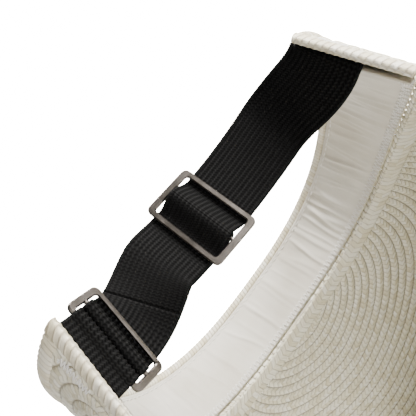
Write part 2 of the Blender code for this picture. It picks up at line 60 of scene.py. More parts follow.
# Crown band and sweatband
BAND_HEIGHT_FRONT = 37.8 * MM
BAND_HEIGHT_END = 39.1 * MM
BAND_INSET_FRONT = -3.6 * MM
BAND_INSET_END = 2.1 * MM
LEFT_END_SLANT = 20.0 * MM
LEFT_END_FLARE = 10.0 * MM
LEFT_END_START_TURN = 0.72
STRAW_THICKNESS = 2.0 * MM
COTTON_THICKNESS = 0.6 * MM
TOP_ROW_TUCK = 0.5 * MM
END_ROW_LIFT = 1.45 * MM
END_ROW_HALF_THICKNESS = 1.4 * MM
END_ROW_TURN = 0.0225
END_ROW_FILL = 0.98
SWEATBAND_END_TURN = 0.97
SWEATBAND_RISES = (0.012, 0.865)
SEWN_IN_DEPTH = 1.9 * MM
PUCKER_COUNT = 100
PUCKER_DEPTH = 1.3 * MM
PUCKER_END_TURN = 0.96

# Brim
BRIM_REACH_FRONT = 80.0 * MM
BRIM_REACH_END = 34.0 * MM
BRIM_TAPER_POWER = 1.5
BRIM_BOW = 0.14
RIM_LIFT_END = 20.0 * MM
RIM_LIFT_START_TURN = 0.62
CORNER_TURN = 0.07
CORNER_REACH_LOSS = 0.45
RIM_HEIGHT = 3.4 * MM
RIM_HALF_THICKNESS = 1.55 * MM
COVER_ROW_WIDTH = 9.0 * MM
COVER_ROW_END_TURN = 0.95

# Straw braid: rows side by side, each a flat plait of strands
ROW_PITCH = 4.7 * MM
ROW_RELIEF = 0.75 * MM
STRAND_PITCH = 2.5 * MM
STRAND_SLANT = 0.75
STRAND_RELIEF = 0.13 * MM
FOLDED_ROW_WIDTH = 5.0 * MM
FLAT_ROW_TUCK = 0.6 * MM
ROPE_PITCH = 2.3 * MM
ROPE_SIDES = 20
ROPE_SQUARENESS = 2.6
# The brim's rows are nested round the middle of the forehead: first row's half axes, and growth per row
BRIM_ROW_START = (25.0 * MM, 14.5 * MM)
BRIM_ROW_GROWTH = (4.4 * MM, 4.9 * MM)
BRIM_ROW_POWER = 1.85
BRIM_ROW_LIMITS = (-2.9, 90.0)
BRIM_ROW_HALVINGS = 26
BRIM_FAN_LENGTH = 120.0 * MM
BRIM_FAN_POWER = 0.35
# Points of each sheet along the band and across it
BRIM_GRID = (961, 151)
BAND_GRID = (641, 65)
COVER_ROW_GRID = (901, 22)
SWEATBAND_GRID = (821, 49)

# Elastic strap
STRAP_WIDTH = 25.0 * MM
STRAP_THICKNESS = 1.0 * MM
STRAP_RIBS = 15
STRAP_RIB_RELIEF = 0.2 * MM
STRAP_ARC_RADIUS = 80.0 * MM
STRAP_ARC_TO_RIGHT = 36.0 * MM
STRAP_ARC_TO_LEFT = 18.0 * MM
STRAP_END_RUN = 20.0 * MM
STRAP_RISE = 0.70
TAB_STRAIGHT = 2.6 * MM
TAB_TURN = 0.984
TAB_LENGTH = 6.0 * MM
SEWN_IN_RUN = 2.2 * MM
HUMP_RUN = 7.6 * MM
LEVEL_RUN = 8.0 * MM
FOLD_START_RUN = 21.0 * MM

# Stitches
THREAD_SIDES = 6
TOP_STITCH_HEIGHT = 31.0 * MM
TOP_STITCH_PITCH_TURN = 0.0185
TOP_STITCH_LENGTH_TURN = 0.0135
TOP_STITCH_RADIUS = 0.26 * MM
OVERLOCK_HEIGHT = 2.4 * MM
OVERLOCK_PITCH = 2.6 * MM
OVERLOCK_RADIUS = 0.3 * MM
END_STITCH_RUN = 15.0 * MM
END_STITCH_RADIUS = 0.25 * MM
TACK_FROM_END = 7.2 * MM
TACK_HALF_LENGTH = 5.4 * MM
TACK_RADIUS = 0.28 * MM

# Metal slides
SLIDE_THICKNESS = 1.6 * MM
SLIDE_LENGTH = 20.0 * MM
SLIDE_CENTRE = Vector((3.1 * MM, OVAL_CENTRE_Y + 49.7 * MM, SEAM_HEIGHT_FRONT + 8.9 * MM))
SLIDE_HEADING = math.radians(8.0)
SLIDE_LEAN = math.radians(12.0)
END_SLIDE_LENGTH = 12.0 * MM
END_SLIDE_BAR_WIDTH = 1.4 * MM
END_BAR_PITCH = (END_SLIDE_LENGTH - END_SLIDE_BAR_WIDTH) / 2
# How the elastic lies on the slides: pitch of its layers, radii round the bars, and depth under them
LAYER = STRAP_THICKNESS + GAP
WRAP_RADIUS = SLIDE_THICKNESS / 2 + GAP + STRAP_THICKNESS / 2
TAB_WRAP_RADIUS = math.hypot(END_SLIDE_BAR_WIDTH, SLIDE_THICKNESS) / 2 + GAP + STRAP_THICKNESS / 2
LOOP_FULLNESS = 0.38 * MM
UNDER_BARS = -WRAP_RADIUS - SLIDE_LENGTH ** 2 / (8 * STRAP_ARC_RADIUS)
STRAP_SPLIT_RUN = 34.0 * MM

# Camera: looks up into the visor from behind and below
CAMERA_PLACE = Vector((23.168 * MM, OVAL_CENTRE_Y + 181.313 * MM, SEAM_HEIGHT_FRONT - 68.173 * MM))
CAMERA_RIGHT = Vector((-0.6031, -0.3188, -0.7312))
CAMERA_DOWN = Vector((0.7830, -0.4117, -0.4663))
CAMERA_LENS = 41.02

# Stage: the white backdrop is brighter to the eye than the light that it gives
WORLD_LIGHT = 0.2
WORLD_COLOUR = (1.0, 0.94, 0.84, 1.0)
BACKDROP_LIGHT = 30.0
FLOOR_HALF = 4.0


# ---------------------------------------------------------------------------------------------------------
# Arithmetic on arrays of points


def smoothstep(value):
    value = np.clip(value, 0.0, 1.0)
    return value * value * (3.0 - 2.0 * value)


def mix(start, end, share):
    return start + (end - start) * share


def unit(vectors):
    return vectors / np.linalg.norm(vectors, axis=-1, keepdims=True)


def scaled(vectors, lengths):
    return vectors * np.asarray(lengths)[..., None]


def lengths_along(points):
    """Distance from the first point of a curve to each of its points."""
    return np.concatenate(([0.0], np.cumsum(np.linalg.norm(np.diff(points, axis=0), axis=1))))


# ---------------------------------------------------------------------------------------------------------
# The visor's surfaces, as the CAD lays them out


def oval(turn):
    """Plan points of the seam and their outward directions."""
    side = np.sin(turn * END_ANGLE)
    back = -np.cos(turn * END_ANGLE)
    share = np.abs(side / OVAL_HALF_WIDTH) ** OVAL_POWER + np.abs(back / OVAL_HALF_LENGTH) ** OVAL_POWER
    radius = share ** (-1.0 / OVAL_POWER)
    level = np.zeros_like(radius)
    slope_x = np.abs(radius * side / OVAL_HALF_WIDTH) ** (OVAL_POWER - 1.0) / OVAL_HALF_WIDTH
    slope_y = np.abs(radius * back / OVAL_HALF_LENGTH) ** (OVAL_POWER - 1.0) / OVAL_HALF_LENGTH
    outward = np.stack([np.copysign(slope_x, side), np.copysign(slope_y, back), level], -1)
    return np.stack([radius * side, radius * back, level], -1), unit(outward)


def band_height(turn):
    return mix(BAND_HEIGHT_FRONT, BAND_HEIGHT_END, turn * turn)


def band_point(turn, rise, out):
    """Points on the crown band, `out` from its inner straw face."""
    turn, rise, out = np.broadcast_arrays(np.float64(turn), np.float64(rise), np.float64(out))
    plan, outward = oval(turn)
    inset = mix(BAND_INSET_FRONT, BAND_INSET_END, turn * turn) * rise
    point = plan - scaled(unit(plan), inset) + scaled(outward, out)
    backward = np.stack([-outward[..., 1], outward[..., 0], outward[..., 2]], -1)
    twist = smoothstep((turn - LEFT_END_START_TURN) / (1.0 - LEFT_END_START_TURN)) * (rise - STRAP_RISE)
    point = point + scaled(backward * LEFT_END_SLANT + outward * LEFT_END_FLARE, twist)
    height = mix(SEAM_HEIGHT_FRONT, SEAM_HEIGHT_END, turn * turn) + rise * band_height(turn)
    return point + scaled(UP, height) + np.array((0.0, OVAL_CENTRE_Y, 0.0))


def brim_point(turn, share, depth):
    """Points on the brim, `depth` below its upper face."""
    turn, share, depth = np.broadcast_arrays(np.float64(turn), np.float64(share), np.float64(depth))
    size = np.abs(turn)
    reach = mix(BRIM_REACH_END, BRIM_REACH_FRONT, np.cos(math.pi / 2 * size ** BRIM_TAPER_POWER))
    corner = np.clip((size - 1.0 + CORNER_TURN) / CORNER_TURN, 0.0, 1.0)
    reach = reach * (1.0 - CORNER_REACH_LOSS * (1.0 - np.sqrt(1.0 - corner ** 2)))
    outward = oval(turn)[1]
    start = band_point(turn, 0.0, 0.0) - UP * GAP
    rim_lift = RIM_LIFT_END * smoothstep((size - RIM_LIFT_START_TURN) / (1.0 - RIM_LIFT_START_TURN))
    drop = start[..., 2] - rim_lift - RIM_HEIGHT
    fall = share - BRIM_BOW * share * (1.0 - share)
    slope = 1.0 - BRIM_BOW * (1.0 - 2.0 * share)
    point = start + scaled(outward, reach * share) - scaled(UP, drop * fall)
    normal = unit(scaled(outward, drop * slope) + scaled(UP, reach))
    return point - scaled(normal, depth)


def brim_width(turn):
    return np.linalg.norm(brim_point(turn, 1.0, 0.0) - brim_point(turn, 0.0, 0.0), axis=-1)


def seam_run(turn):
    """Signed distance along the seam from the middle of the forehead."""
    marks = np.linspace(0.0, 1.0, 401)
    distances = lengths_along(band_point(marks, 0.0, 0.0))
    return np.copysign(np.interp(np.abs(turn), marks, distances), turn)


BAND_HALF_LENGTH = float(seam_run(1.0))


# ---------------------------------------------------------------------------------------------------------
# Mesh building


def mesh_piece(name, points, faces, surface, uvs=None):
    """Smooth-shaded mesh object; the UV coordinates are one pair per point."""
    mesh = bpy.data.meshes.new(name)
    mesh.from_pydata(np.asarray(points).reshape(-1, 3).tolist(), [], faces)
    mesh.shade_smooth()
    if uvs is not None:
        corners = np.zeros(len(mesh.loops), dtype=np.int32)
        mesh.loops.foreach_get("vertex_index", corners)
        layer = mesh.uv_layers.new(name="rows")
        layer.uv.foreach_set("vector", np.asarray(uvs, dtype=np.float32)[corners].ravel())
    mesh.materials.append(surface)
    piece = bpy.data.objects.new(name, mesh)
    bpy.context.scene.collection.objects.link(piece)
    return piece


def grid_faces(rows, columns, first, flip):
    """Quads of a grid of points whose numbers start at `first`."""
    start = first + np.arange(rows - 1)[:, None] * columns + np.arange(columns - 1)[None, :]
    quads = np.stack([start, start + columns, start + columns + 1, start + 1], -1).reshape(-1, 4)
    if flip:
        quads = quads[:, ::-1]
    return quads.tolist()


def shell(name, outer, inner, uvs, surface):
    """Closed sheet between two grids of points."""
    rows, columns = outer.shape[:2]
    count = rows * columns
    faces = grid_faces(rows, columns, 0, False) + grid_faces(rows, columns, count, True)
    number = np.arange(count).reshape(rows, columns)
    border = np.concatenate([number[0, :], number[1:, -1], number[-1, -2::-1], number[-2:0:-1, 0]])
    following = np.roll(border, -1)
    faces += np.stack([border, following, following + count, border + count], -1).tolist()
    points = np.concatenate([outer.reshape(-1, 3), inner.reshape(-1, 3)])
    pairs = uvs.reshape(-1, 2)
    return mesh_piece(name, points, faces, surface, np.concatenate([pairs, pairs]))


def rope(name, spine, wide, thick, surface):
    """Closed twisted bar along a spine, with its half width and half thickness as vectors at each point."""
    count = len(spine)
    angle = np.arange(ROPE_SIDES) / ROPE_SIDES * 2 * math.pi
    across = np.copysign(np.abs(np.cos(angle)) ** (2 / ROPE_SQUARENESS), np.cos(angle))
    through = np.copysign(np.abs(np.sin(angle)) ** (2 / ROPE_SQUARENESS), np.sin(angle))
    along = lengths_along(spine)
    swell = 1.0 + 0.06 * np.cos(2 * math.pi * along[:, None] / ROPE_PITCH + angle[None, :])
    points = spine[:, None] + swell[..., None] * (
        wide[:, None] * across[None, :, None] + thick[:, None] * through[None, :, None]
    )
    number = np.arange(count * ROPE_SIDES).reshape(count, ROPE_SIDES)
    following = np.roll(number, -1, axis=1)
    quads = np.stack([number[:-1], following[:-1], following[1:], number[1:]], -1).reshape(-1, 4).tolist()
    faces = quads + [number[0].tolist()[::-1], number[-1].tolist()]
    uvs = np.stack(np.broadcast_arrays(along[:, None] / MM, angle[None, :] / math.pi), -1).reshape(-1, 2)
    return mesh_piece(name, points, faces, surface, uvs)


def thread(name, strands, radius, surface):
    """One piece made of several round threads, each an array of points."""
    points = []
    faces = []
    uvs = []
    for strand in strands:
        first = len(points)
        ahead = unit(np.gradient(strand, axis=0))
        side = unit(np.cross(ahead, np.array((0.31, 0.47, 0.83))))
        lift = np.cross(side, ahead)
        along = lengths_along(strand)
        taper = np.clip(np.minimum(along, along[-1] - along) / radius, 0.0, 1.0)
        reach = radius * (0.35 + 0.65 * np.sqrt(1.0 - (1.0 - taper) ** 2))
        for index, place in enumerate(strand):
            for step in range(THREAD_SIDES):
                angle = 2 * math.pi * step / THREAD_SIDES
                offset = side[index] * math.cos(angle) + lift[index] * math.sin(angle)
                points.append(place + offset * reach[index])
                uvs.append((along[index] / MM, step / THREAD_SIDES))
        for ring in range(len(strand) - 1):
            low = first + ring * THREAD_SIDES
            high = low + THREAD_SIDES
            for step in range(THREAD_SIDES):
                following = (step + 1) % THREAD_SIDES
                faces.append((low + step, low + following, high + following, high + step))
        faces.append(tuple(range(first + THREAD_SIDES - 1, first - 1, -1)))
        faces.append(tuple(range(len(points) - THREAD_SIDES, len(points))))
    return mesh_piece(name, points, faces, surface, uvs)


# ---------------------------------------------------------------------------------------------------------
# Materials


class Shader:
    """A node material that is built one node at a time."""

    def __init__(self, name, colour, roughness, metallic=0.0):
        self.material = bpy.data.materials.new(name)
        self.material.use_nodes = True
        self.tree = self.material.node_tree
        self.surface = self.tree.nodes["Principled BSDF"]
        self.surface.inputs["Base Color"].default_value = (*colour, 1.0)
        self.surface.inputs["Roughness"].default_value = roughness
        self.surface.inputs["Metallic"].default_value = metallic

    def node(self, kind, settings=(), **inputs):
        made = self.tree.nodes.new(kind)
        for key, value in dict(settings).items():
            setattr(made, key, value)
        for key, value in inputs.items():
            self.feed(made.inputs[key.replace("_", " ")], value)
        return made

    def feed(self, socket, value):
        if isinstance(value, bpy.types.NodeSocket):
            self.tree.links.new(value, socket)
        else:
            socket.default_value = value

    def math(self, operation, *values):
        made = self.tree.nodes.new("ShaderNodeMath")
        made.operation = operation
        for socket, value in zip(made.inputs, values):
            self.feed(socket, value)
        return made.outputs[0]

    def plus(self, first, second):
        return self.math("ADD", first, second)

    def times(self, first, second):
        return self.math("MULTIPLY", first, second)

    def rows(self):
        """The two coordinates of the `rows` UV layer."""
        layer = self.node("ShaderNodeUVMap", {"uv_map": "rows"})
        split = self.node("ShaderNodeSeparateXYZ", Vector=layer.outputs["UV"])
        return split.outputs["X"], split.outputs["Y"]

    def vector(self, x, y, z=0.0):
        return self.node("ShaderNodeCombineXYZ", X=x, Y=y, Z=z).outputs["Vector"]

    def noise(self, vector, scale, detail=2.0):
        return self.node("ShaderNodeTexNoise", Vector=vector, Scale=scale, Detail=detail).outputs["Fac"]

    def place(self):
        return self.node("ShaderNodeTexCoord").outputs["Object"]

    def ramp(self, value, *stops):
        made = self.node("ShaderNodeValToRGB", Fac=value)
        steps = made.color_ramp.elements
        while len(steps) < len(stops):
            steps.new(0.5)
        for step, (position, colour) in zip(steps, stops):
            step.position = position
            step.color = (*colour, 1.0)
        return made.outputs["Color"]

    def random(self, vector):
        return self.node("ShaderNodeTexWhiteNoise", Vector=vector).outputs["Value"]

    def stain(self, body, amount, strength, colour):
        """The body colour, with another one mixed in where `amount` is high."""
        made = self.node("ShaderNodeMix", {"data_type": "RGBA"})
        self.feed(made.inputs[0], self.times(amount, strength))
        self.feed(made.inputs[6], body)
        self.feed(made.inputs[7], (*colour, 1.0))
        return made.outputs[2]

    def colour(self, value):
        self.feed(self.surface.inputs["Base Color"], value)

    def roughness(self, value, low, high):
        mapped = self.node("ShaderNodeMapRange", Value=value, To_Min=low, To_Max=high)
        self.feed(self.surface.inputs["Roughness"], mapped.outputs["Result"])

    def bump(self, height, depth, strength):
        made = self.node("ShaderNodeBump", Height=height, Distance=depth, Strength=strength)
        self.feed(self.surface.inputs["Normal"], made.outputs["Normal"])


def straw_material():
    """Plaited paper straw. The first coordinate is millimetres along a row, the second counts rows."""
    shader = Shader("straw", (0.84, 0.8, 0.71), 0.5)
    along, row = shader.rows()
    across = shader.math("FRACT", row)
    edge = shader.math("ABSOLUTE", shader.math("MULTIPLY_ADD", across, 2.0, -1.0))
    strand = shader.math("DIVIDE", along, STRAND_PITCH / MM)
    strand = shader.math("MULTIPLY_ADD", edge, STRAND_SLANT, strand)
    half = shader.math("GREATER_THAN", across, 0.5)
    tint = shader.random(shader.vector(shader.math("FLOOR", strand), shader.math("FLOOR", row), half))
    fibre = shader.noise(shader.vector(shader.times(strand, 9.0), shader.times(edge, 1.2)), 2.2, 4)
    between = shader.math("SMOOTH_MIN", shader.times(shader.math("PINGPONG", strand, 0.5), 7.0), 1.0, 0.3)
    groove = shader.node("ShaderNodeMapRange", Value=edge, From_Min=0.8, From_Max=1.0).outputs["Result"]
    body = straw_tints(shader, tint, fibre)
    # Painted shade: the straw is darkened where the strands dip between one another
    body = shader.stain(body, shader.math("SUBTRACT", 1.0, between), 0.55, (0.4, 0.34, 0.23))
    # Painted shade: the grooves between neighbouring rows are darkened
    body = shader.stain(body, groove, 0.85, (0.26, 0.21, 0.13))
    # Painted shade: dark dots at the needle holes where the stitches between rows go through the straw
    body = shader.stain(body, needle_hole_shade(shader, along, edge), 0.35, (0.2, 0.16, 0.12))
    shader.colour(body)
    shader.roughness(fibre, 0.34, 0.62)
    height = shader.plus(between, shader.times(fibre, 0.5))
    shader.bump(shader.math("SUBTRACT", height, shader.times(groove, 0.8)), 0.25 * MM, 0.9)
    return shader.material


def straw_tints(shader, tint, fibre):
    """Each strand has its own tint, with darker fibres and faint clouds of colour."""
    dark, middle, light = (0.74, 0.68, 0.48), (0.89, 0.85, 0.67), (0.97, 0.95, 0.83)
    body = shader.ramp(tint, (0.0, dark), (0.45, middle), (1.0, light))
    body = shader.stain(body, fibre, 0.2, (0.66, 0.6, 0.46))
    return shader.stain(body, shader.noise(shader.place(), 22.0), 0.14, (0.8, 0.74, 0.6))


def needle_hole_shade(shader, along, edge):
    """Painted shade in the holes of the stitches that join neighbouring rows."""
    hole = shader.math("LESS_THAN", shader.math("PINGPONG", shader.math("DIVIDE", along, 3.1), 0.5), 0.13)
    return shader.times(hole, shader.math("GREATER_THAN", edge, 0.72))


def straw_edge_material():
    """Braid that is folded over an edge: twisted strands, slightly lighter than the flat rows."""
    shader = Shader("straw_edge", (0.86, 0.81, 0.72), 0.5)
    along, around = shader.rows()
    strand = shader.plus(shader.math("DIVIDE", along, ROPE_PITCH / MM), around)
    tint = shader.random(shader.vector(shader.math("FLOOR", strand), 3.0))
    fibre = shader.noise(shader.vector(shader.times(strand, 7.0), around), 3.0, 4)
    between = shader.math("SMOOTH_MIN", shader.times(shader.math("PINGPONG", strand, 0.5), 5.0), 1.0, 0.3)
    body = shader.ramp(tint, (0.0, (0.7, 0.63, 0.44)), (0.5, (0.85, 0.79, 0.61)), (1.0, (0.95, 0.92, 0.8)))
    body = shader.stain(body, fibre, 0.3, (0.6, 0.51, 0.38))
    # Painted shade: the folded braid is darkened in the recesses between its twisted strands
    body = shader.stain(body, shader.math("SUBTRACT", 1.0, between), 0.6, (0.38, 0.3, 0.2))
    shader.colour(body)
    shader.roughness(fibre, 0.35, 0.6)
    shader.bump(shader.plus(between, shader.times(fibre, 0.5)), 0.3 * MM, 0.9)
    return shader.material


def cotton_material():
    """Off-white cotton: a fine plain weave, with fuzz and faint soiling."""
    shader = Shader("cotton", (0.8, 0.78, 0.75), 0.92)
    along, height = shader.rows()
    warp = shader.math("SINE", shader.times(along, 2 * math.pi / 0.45))
    weft = shader.math("SINE", shader.times(height, 2 * math.pi / 0.45))
    weave = shader.times(warp, weft)
    soil = shader.noise(shader.place(), 30.0, 3)
    fuzz = shader.noise(shader.place(), 1800.0)
    tone = shader.ramp(soil, (0.3, (0.6, 0.555, 0.46)), (0.7, (0.8, 0.77, 0.69)))
    shader.colour(shader.stain(tone, fuzz, 0.2, (0.66, 0.62, 0.58)))
    shader.bump(shader.plus(shader.times(weave, 0.5), fuzz), 0.08 * MM, 0.6)
    shader.surface.inputs["Sheen Weight"].default_value = 0.15
    return shader.material


def elastic_material():
    """Black knitted elastic. Its two coordinates are millimetres along it and millimetres across it."""
    shader = Shader("elastic", (0.012, 0.012, 0.013), 0.75)
    along, across = shader.rows()
    rib = shader.math("FRACT", shader.times(across, STRAP_RIBS / (STRAP_WIDTH / MM)))
    slant = shader.math("ABSOLUTE", shader.math("SUBTRACT", rib, 0.5))
    knit = shader.math("PINGPONG", shader.plus(shader.math("DIVIDE", along, 0.9), slant), 0.5)
    fuzz = shader.noise(shader.vector(along, across), 6.0, 4)
    tone = shader.plus(shader.times(knit, 0.8), shader.times(fuzz, 0.7))
    # Painted shade: the dips between knit loops are darker and the raised loops keep the yarn's black; the
    # fuzz adds random tone
    shader.colour(shader.ramp(tone, (0.35, (0.0005, 0.0005, 0.0005)), (0.95, (0.012, 0.012, 0.012))))
    shader.bump(tone, 0.14 * MM, 0.8)
    shader.surface.inputs["Specular IOR Level"].default_value = 0.06
    return shader.material


def metal_material():
    """Satin gunmetal plating, finely grained and unevenly worn."""
    shader = Shader("gunmetal", (0.36, 0.34, 0.32), 0.3, 1.0)
    grain = shader.noise(shader.place(), 900.0, 3)
    worn = shader.noise(shader.place(), 140.0, 2)
    shader.colour(shader.ramp(worn, (0.35, (0.1, 0.09, 0.08)), (0.7, (0.2, 0.18, 0.165))))
    shader.roughness(grain, 0.24, 0.4)
    shader.bump(grain, 0.02 * MM, 0.5)
    return shader.material


def thread_material(name, colour):
    """Twisted sewing thread. The first coordinate is millimetres along it, the second its share round."""
    shader = Shader(name, colour, 0.65)
    along, around = shader.rows()
    ply = shader.math("PINGPONG", shader.plus(shader.math("DIVIDE", along, 0.7), around), 0.5)
    light = tuple(min(1.0, part * 1.15 + 0.01) for part in colour)
    dark = tuple(part * 0.7 for part in colour)
    # Painted shade in the grooves between the plies and painted highlight on their crowns, on the same
    # twist as the bump
    shader.colour(shader.ramp(ply, (0.0, dark), (0.35, light)))
    shader.bump(ply, 0.1 * MM, 0.8)
    return shader.material


def floor_material():
    """Plain pale matt floor."""
    shader = Shader("floor", (0.8, 0.8, 0.8), 0.7)
    fine = shader.noise(shader.place(), 60.0, 3)
    shader.colour(shader.ramp(fine, (0.3, (0.78, 0.78, 0.78)), (0.7, (0.82, 0.82, 0.82))))
    return shader.material


# ---------------------------------------------------------------------------------------------------------
# Straw pieces


def braid_relief(along, row):
    """Height of a braided row above its seams; `row` counts rows and `along` is the distance along one."""
    across = np.abs(2.0 * (row - np.floor(row)) - 1.0)
    ridge = ROW_RELIEF * (1.0 - across ** 3)
    strands = STRAND_RELIEF * np.cos(2 * math.pi * (along / STRAND_PITCH + STRAND_SLANT * across))
    return ridge + strands * (1.0 - across ** 4)


def brim_rows(seam, width):
    """Row number and distance along the row, for points `seam` along the seam and `width` out from it."""
    low = np.full(seam.shape, BRIM_ROW_LIMITS[0])
    high = np.full(seam.shape, BRIM_ROW_LIMITS[1])
    for _ in range(BRIM_ROW_HALVINGS):
        middle = (low + high) / 2
        half_length = BRIM_ROW_START[0] + BRIM_ROW_GROWTH[0] * middle
        half_width = BRIM_ROW_START[1] + BRIM_ROW_GROWTH[1] * middle
        reached = (np.abs(seam) / half_length) ** BRIM_ROW_POWER + (width / half_width) ** BRIM_ROW_POWER
        low = np.where(reached > 1.0, middle, low)
        high = np.where(reached > 1.0, high, middle)
    size = (half_length + half_width) / 2
    size = size - (middle - np.floor(middle)) * (BRIM_ROW_GROWTH[0] + BRIM_ROW_GROWTH[1]) / 2
    return middle, np.arctan2(seam, width + 1e-6) * size


def make_brim(straw):
    """The brim's nested rows, up to the folded row round the rim."""
    turns = np.linspace(-1.0, 1.0, BRIM_GRID[0])[:, None]
    last = 1.0 - (FOLDED_ROW_WIDTH - FLAT_ROW_TUCK) / brim_width(turns)
    shares = np.linspace(0.0, 1.0, BRIM_GRID[1])[None, :] * last
    width = shares * brim_width(turns)
    seam = seam_run(turns) * (1.0 + width / BRIM_FAN_LENGTH) ** BRIM_FAN_POWER
    row, along = brim_rows(np.broadcast_to(seam, width.shape), width)
    relief = braid_relief(along, row)
    outer = brim_point(turns, shares, 0.1 * MM - relief)
    inner = brim_point(turns, shares, STRAW_THICKNESS - 0.45 * MM + relief)
    return shell("visual_brim", outer, inner, np.stack([along / MM, row], -1), straw)


def band_rows(turn, rise):
    """The band's rows run round it as a long loop, turning back at each end."""
    radius = BAND_HEIGHT_FRONT / 2
    seam = seam_run(turn)
    above = rise * band_height(turn) - radius
    past = np.maximum(np.abs(seam) - (BAND_HALF_LENGTH - radius), 0.0)
    round_end = np.arctan2(past, np.abs(above) + 1e-6) * radius
    return np.hypot(past, above) / ROW_PITCH + 0.5, np.where(past > 0, round_end, seam)


def make_crown_band(straw):
    """The band's rows, up to the folded rows at its top and its ends."""
    end = 1.0 - (FOLDED_ROW_WIDTH - FLAT_ROW_TUCK) / BAND_HALF_LENGTH
    turns = np.linspace(-end, end, BAND_GRID[0])[:, None]
    rises = np.linspace(GAP / BAND_HEIGHT_FRONT, 0.9, BAND_GRID[1])[None, :]
    row, along = np.broadcast_arrays(*band_rows(turns, rises))
    outer = band_point(turns, rises, STRAW_THICKNESS - 0.4 * MM + braid_relief(along, row))
    inner = band_point(turns, rises, 0.2 * MM)
    return shell("visual_crown_band", outer, inner, np.stack([along / MM, row], -1), straw)


def make_crown_top_row(straw_edge):
    """Braid folded over the band's top edge. It's thinner inside where the elastic is sewn in."""
    end = 1.0 - (FOLDED_ROW_WIDTH - TOP_ROW_TUCK) / BAND_HALF_LENGTH
    turns = np.linspace(-end, end, 640)
    inner = -1.3 * MM * (1.0 - smoothstep((np.abs(turns) - 0.78) / 0.1))
    outer = 2.9 * MM
    spine = band_point(turns, 0.935, (inner + outer) / 2)
    wide = (band_point(turns, 0.998, 0.0) - band_point(turns, 0.872, 0.0)) / 2
    thick = scaled(oval(turns)[1], (outer - inner) / 2)
    return rope("visual_crown_top_row", spine, wide, thick, straw_edge)


def make_end_row(name, side, straw_edge):
    """Folded braid down one end of the band."""
    rises = np.linspace(0.012, 0.99, 90)
    middle = side * (1.0 - FOLDED_ROW_WIDTH / 2 / BAND_HALF_LENGTH)
    spine = band_point(middle, rises, END_ROW_LIFT)
    tip = band_point(side, rises, END_ROW_LIFT)
    root = band_point(side * (1.0 - END_ROW_TURN), rises, END_ROW_LIFT)
    thick = scaled(oval(np.full(rises.shape, middle))[1], END_ROW_HALF_THICKNESS)
    return rope(name, spine, (tip - root) / 2 * END_ROW_FILL, thick, straw_edge)


def make_brim_edge_row(straw_edge):
    """Folded braid round the brim's rim."""
    turns = np.linspace(-1.0, 1.0, 1000)
    outward = oval(turns)[1]
    rim = brim_point(turns, 1.0, 0.0)
    inner = brim_point(turns, 1.0 - (FOLDED_ROW_WIDTH - GAP) / brim_width(turns), STRAW_THICKNESS / 2)
    outer = rim - UP * RIM_HEIGHT / 2 - outward * 0.9 * MM
    spine = (inner + outer) / 2
    wide = (outer - inner) / 2 * 1.25
    ahead = unit(np.gradient(spine, axis=0))
    thick = unit(np.cross(ahead, wide)) * RIM_HALF_THICKNESS
    return rope("visual_brim_edge_row", spine, wide, thick, straw_edge)


def make_seam_cover_row(straw):
    """Flat braid that covers the seam on the brim's underside."""
    turns = np.linspace(-COVER_ROW_END_TURN, COVER_ROW_END_TURN, COVER_ROW_GRID[0])[:, None]
    shares = np.linspace(0.4 * MM, COVER_ROW_WIDTH, COVER_ROW_GRID[1])[None, :] / brim_width(turns)
    across = np.linspace(0.0, 1.0, COVER_ROW_GRID[1])[None, :]
    edge = 2 * across - 1
    along = np.broadcast_to(seam_run(turns), shares.shape)
    slanted = along / STRAND_PITCH + 2 * STRAND_SLANT * np.abs(edge)
    relief = 0.35 * MM * (1.0 - edge ** 4) + STRAND_RELIEF * np.cos(2 * math.pi * slanted)
    scallop = 0.25 * MM * np.cos(2 * math.pi * along / STRAND_PITCH) * edge
    shares = shares + scallop / brim_width(turns)
    lower = STRAW_THICKNESS + GAP + 0.55 * MM
    outer = brim_point(turns, shares, lower - 0.6 * MM)
    inner = brim_point(turns, shares, lower + relief)
    uvs = np.stack(np.broadcast_arrays(along / MM * 0.8, 0.1 + 0.8 * across), -1)
    return shell("visual_seam_cover_row", outer, inner, uvs, straw)


# ---------------------------------------------------------------------------------------------------------
# Cotton sweatband and its stitches


def sweatband_out(turn):
    """The sweatband lies on the straw and steps inwards at the ends, over the sewn-in elastic."""
    return -GAP - SEWN_IN_DEPTH * smoothstep((np.abs(turn) - 0.88) / 0.05)


def puckers(turn, rise):
    """Small slanting gathers that the lower seam pulls into the cotton."""
    picker = np.random.RandomState(11)
    total = np.zeros(np.broadcast(turn, rise).shape)
    for centre in np.linspace(-PUCKER_END_TURN, PUCKER_END_TURN, PUCKER_COUNT):
        centre = centre + picker.uniform(-0.005, 0.005)
        slant = picker.uniform(-0.012, 0.03)
        bend = picker.uniform(-0.006, 0.006)
        width = picker.uniform(0.004, 0.009)
        depth = picker.uniform(0.1, 1.0) ** 1.6
        middle = centre + slant * rise + bend * np.sin(2 * math.pi * rise)
        total += depth * np.exp(-(((turn - middle) / width) ** 2))
    return total * np.sin(math.pi * np.clip(rise / 0.88, 0.0, 1.0)) ** 0.6


def make_sweatband(cotton):
    """The gathered cotton band, with a slightly thicker turned edge at the top."""
    turns = np.linspace(-SWEATBAND_END_TURN, SWEATBAND_END_TURN, SWEATBAND_GRID[0])[:, None]
    rises = np.linspace(*SWEATBAND_RISES, SWEATBAND_GRID[1])[None, :]
    out = sweatband_out(turns) - PUCKER_DEPTH * puckers(turns, rises)
    roll = 0.5 * MM * np.exp(-((rises - SWEATBAND_RISES[1]) / 0.03) ** 2)
    outer = band_point(turns, rises, out)
    inner = band_point(turns, rises, out - COTTON_THICKNESS - roll)
    seam, height = np.broadcast_arrays(seam_run(turns), rises * band_height(turns))
    return shell("visual_sweatband", outer, inner, np.stack([seam, height], -1) / MM, cotton)


def on_sweatband(turn, height, lift):
    """Points just off the sweatband's inner face."""
    rise = height / band_height(turn)
    fold = PUCKER_DEPTH * puckers(turn, rise)
    return band_point(turn, rise, sweatband_out(turn) - COTTON_THICKNESS - fold - lift)


